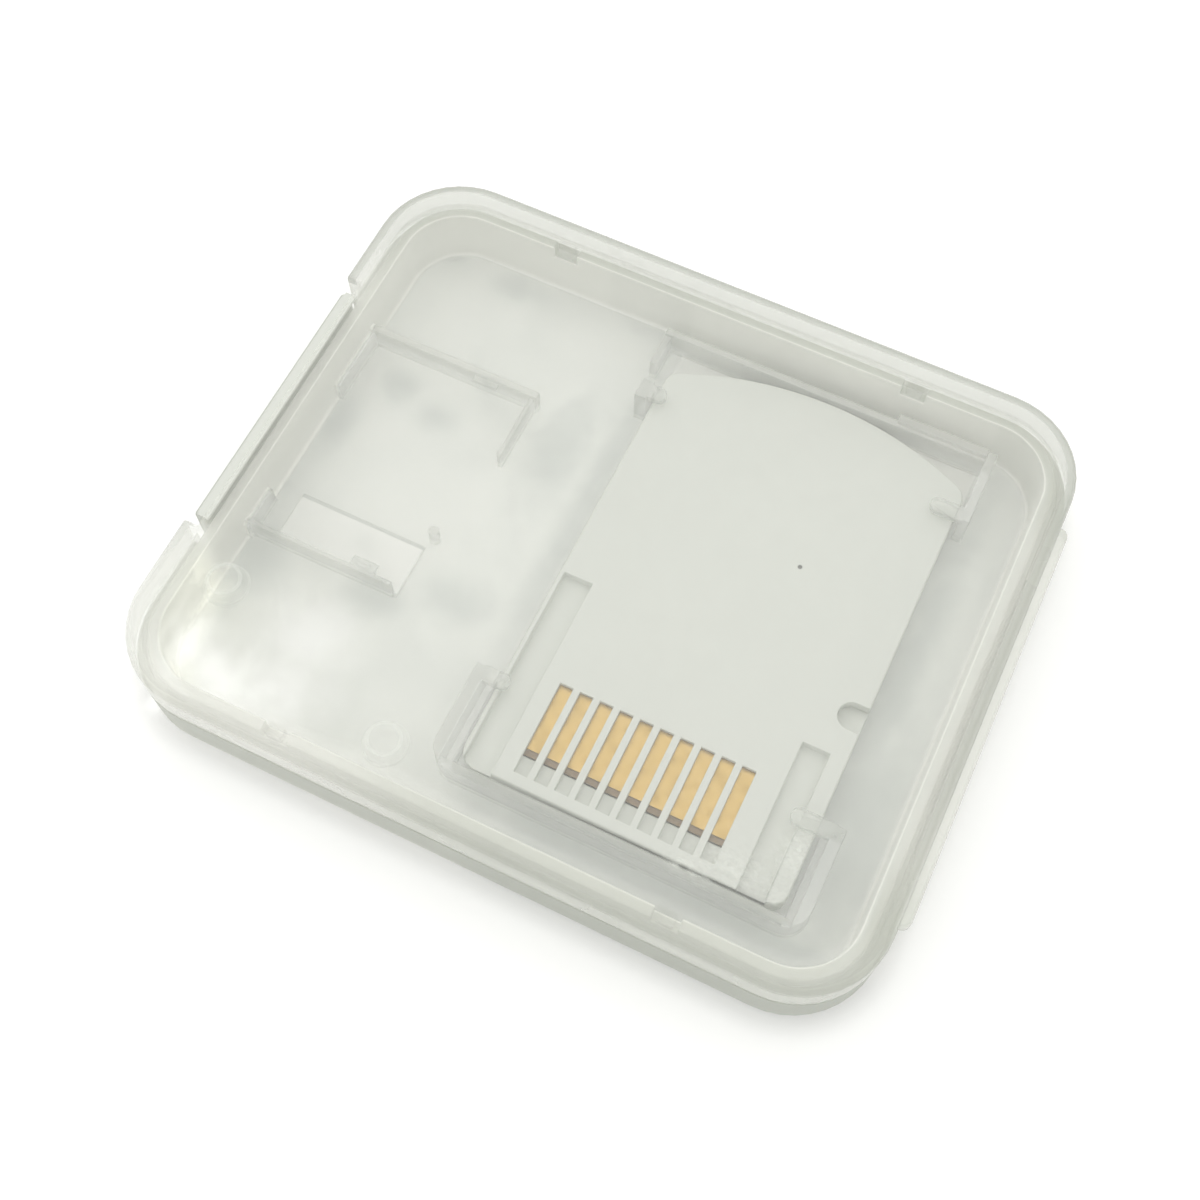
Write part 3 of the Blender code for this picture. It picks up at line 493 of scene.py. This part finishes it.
def laminate(nodes):
    """The circuit board: dark brown laminate with the weave of its cloth showing faintly."""
    x, y, _ = nodes.axes()
    turns = 2 * math.pi / (0.4 * MM)
    weave = (x * turns).maths('SINE') * (y * turns).maths('SINE')
    tint = nodes.blend(weave.rise(-1.0, 1.0), colour(0.20, 0.115, 0.04), colour(0.28, 0.165, 0.06))
    return nodes.plastic(Base_Color=tint, Roughness=0.45 + 0.05 * weave, Coat_Weight=0.2)


def chip_resin(nodes):
    """The controller chip: black resin with a fine grain."""
    grain = nodes.noise(0.06 * MM, detail=2.0)
    tint = nodes.blend(grain, colour(0.015, 0.015, 0.016), colour(0.03, 0.03, 0.03))
    return nodes.plastic(Base_Color=tint, Roughness=0.55 + 0.1 * grain,
                         Normal=nodes.bump(grain, 0.5, 0.01 * MM))


def spring_bronze(nodes):
    """The slot springs: rolled bronze, plated, slightly streaky."""
    streak = nodes.noise(0.08 * MM, detail=2.0, stretch=(1, 0.08, 1))
    tint = nodes.blend(streak, colour(0.78, 0.58, 0.33), colour(0.66, 0.46, 0.24))
    return nodes.plastic(Base_Color=tint, Metallic=1.0, Roughness=0.25 + 0.2 * streak)


FINISHES = {
    "tray_plastic": new_material("tray_plastic", tray_plastic),
    "strip_plastic": new_material("strip_plastic", strip_plastic),
    "lid_plastic": new_material("lid_plastic", lid_plastic),
    "adapter_plastic": new_material("card_plastic", card_plastic),
    "contact_gold": new_material("plated_gold", plated_gold),
    "board_laminate": new_material("laminate", laminate),
    "chip_resin": new_material("chip_resin", chip_resin),
    "spring_bronze": new_material("spring_bronze", spring_bronze),
}

# The tray's painted glow, a highlight at its near left corner, is too faint to be sampled as a lamp
for finish in FINISHES.values():
    finish.cycles.emission_sampling = 'NONE'


def dress(obj, slot):
    """Give an object the one finish of its material slot."""
    obj.data.materials.clear()
    obj.data.materials.append(FINISHES[slot])


# Mouldings, with the sharp edges of their CAD solids rounded

def add_piece(name, mesh, body, slot, *replaced):
    """Put a finished mesh in the scene, on its body if it has one of its own."""
    piece = bpy.data.objects.new(name, mesh)
    bpy.context.scene.collection.objects.link(piece)
    dress(piece, slot)
    if body:
        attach(piece, body)
    if replaced:
        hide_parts(*replaced)
    return piece


def softened_mesh(node, radius):
    """A copy of a CAD node's mesh with its sharp edges rounded."""
    mesh = frame["nodes"][node].data.copy()
    bm = bmesh.new()
    bm.from_mesh(mesh)
    bmesh.ops.remove_doubles(bm, verts=bm.verts, dist=0.0005 * MM)
    bmesh.ops.dissolve_limit(bm, angle_limit=math.radians(0.5), verts=bm.verts, edges=bm.edges)
    for face in bm.faces:
        face.smooth = True
    for edge in bm.edges:
        edge.smooth = True
    bm.to_mesh(mesh)
    bm.free()
    holder = bpy.data.objects.new(node + "_softening", mesh)
    bpy.context.scene.collection.objects.link(holder)
    bevel = holder.modifiers.new("edges", 'BEVEL')
    bevel.width = radius
    bevel.segments = 2
    bevel.limit_method = 'ANGLE'
    bevel.angle_limit = math.radians(35)
    bevel.use_clamp_overlap = False
    holder.modifiers.new("normals", 'WEIGHTED_NORMAL')
    bpy.context.view_layer.update()
    shaped = holder.evaluated_get(bpy.context.evaluated_depsgraph_get())
    result = bpy.data.meshes.new_from_object(shaped)
    bpy.data.objects.remove(holder, do_unlink=True)
    return result


def moulding(node, body, slot, radius):
    """Stand a rounded copy of a CAD node in its place."""
    add_piece(node + "_moulding", softened_mesh(node, radius), body, slot, node)


def web(name, level, start_x, end_x):
    """Thin film of plastic along a fold, between the face of the case and the round of the strip."""
    bm = bmesh.new()
    corners = ((-STRIP_HALF, level - WEB_HALF), (STRIP_HALF, level - WEB_HALF),
               (STRIP_HALF, level + WEB_HALF), (-STRIP_HALF, level + WEB_HALF))
    rows = []
    for index in range(WEB_COLUMNS):
        x = start_x + (end_x - start_x) * index / (WEB_COLUMNS - 1)
        rows.append([bm.verts.new((x, y, z)) for y, z in corners])
    for first, second in zip(rows, rows[1:]):
        for corner in range(4):
            after = (corner + 1) % 4
            bm.faces.new((first[corner], first[after], second[after], second[corner]))
    bm.faces.new(rows[0])
    bm.faces.new(rows[-1])
    bmesh.ops.recalc_face_normals(bm, faces=bm.faces)
    mesh = bpy.data.meshes.new(name)
    bm.to_mesh(mesh)
    bm.free()
    piece = add_piece(name, mesh, None, "strip_plastic")
    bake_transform(piece)


for part in frame["record"]["subparts"]:
    dress(frame["nodes"][part["node"]], part["material_slot"])

moulding("tray", "tray_body", "tray_plastic", CASE_EDGE)
moulding("lid", "lid_body", "lid_plastic", CASE_EDGE)
moulding("hinge_strip", "strip_body", "strip_plastic", STRIP_EDGE)
moulding("adapter_contact_shell", "tray_body", "adapter_plastic", CARD_EDGE)
moulding("adapter_label_shell", "tray_body", "adapter_plastic", CARD_EDGE)
web("lower_web", LOWER_FOLD - FOLD_ROUND, HINGE_FACE + 0.05 * MM, FOLD_X)
web("upper_web", UPPER_FOLD + FOLD_ROUND, FOLD_X, HINGE_FACE + 0.05 * MM)


# Table, light and camera

def white_table(nodes):
    """The table's top, lit by what passes through the case, with a painted shadow where the case touches it
    and painted light under it.
    """
    by_camera = nodes.add("ShaderNodeLightPath", out="Is Camera Ray")
    mirrored = nodes.add("ShaderNodeLightPath", out="Is Glossy Ray")
    through = nodes.add("ShaderNodeLightPath", out="Is Transmission Ray")
    matt = nodes.add("ShaderNodeBsdfDiffuse", {}, {"Color": colour(0.9, 0.9, 0.9)})
    inside = depth(nodes)
    # Painted shadow round the case's foot, painted light under the case, and painted light under its clear
    # corner
    contact = inside.rise(-1.6 * MM, 0.0) * inside.fall(0.3 * MM, 1.2 * MM)
    under = inside.rise(0.6 * MM, 1.4 * MM)
    painted_corner_light = 0.15 * spots(nodes, CLEAR_AND_LIT_SPOTS) + 0.5 * spots(nodes, GLINTS)
    level = 0.2 + 0.08 * under - 0.15 * contact + painted_corner_light
    strength = level * by_camera + 0.1 * mirrored + 0.1 * through
    glow = nodes.add("ShaderNodeEmission", {}, {"Color": colour(1, 1, 1), "Strength": strength})
    return nodes.add("ShaderNodeAddShader", {}, {0: matt, 1: glow})


def table():
    """A wide flat table under the case."""
    mesh = bpy.data.meshes.new("table")
    corners = [(TABLE_HALF * x, TABLE_HALF * y, 0) for x, y in ((-1, -1), (1, -1), (1, 1), (-1, 1))]
    mesh.from_pydata(corners, [], [(0, 1, 2, 3)])
    mesh.materials.append(new_material("white_table", white_table))
    obj = bpy.data.objects.new("table", mesh)
    obj.location.z = TABLE_TOP
    bpy.context.scene.collection.objects.link(obj)


def sky():
    """White studio, brighter towards the far left, where the soft light stands."""
    world = bpy.data.worlds.new("studio")
    bpy.context.scene.world = world
    world.use_nodes = True
    world.node_tree.nodes.clear()
    nodes = Nodes(world.node_tree)
    direction = nodes.add("ShaderNodeTexCoord", out="Generated")
    towards = nodes.add("ShaderNodeVectorMath", {"operation": 'DOT_PRODUCT'},
                        {0: direction, 1: LIGHT_FROM.normalized()}, out="Value")
    strength = 0.85 + 0.5 * towards.rise(0.4, 1.0)
    light = nodes.add("ShaderNodeBackground", {}, {"Color": colour(1.0, 1.0, 0.975),
                                                   "Strength": strength})
    nodes.add("ShaderNodeOutputWorld", {}, {"Surface": light})


def camera():
    """The camera of the photograph: 1200 by 1200, looking down at 65 degrees."""
    data = bpy.data.cameras.new("camera")
    data.sensor_width = SENSOR_MM
    data.sensor_fit = 'HORIZONTAL'
    data.lens = LENS_MM
    data.clip_start = 5 * MM
    obj = bpy.data.objects.new("camera", data)
    obj.location = CAMERA_PLACE
    obj.rotation_euler = [math.radians(turn) for turn in CAMERA_TURNS]
    bpy.context.scene.collection.objects.link(obj)
    bpy.context.scene.camera = obj


table()
sky()
camera()
bpy.context.scene.view_settings.view_transform = 'Standard'
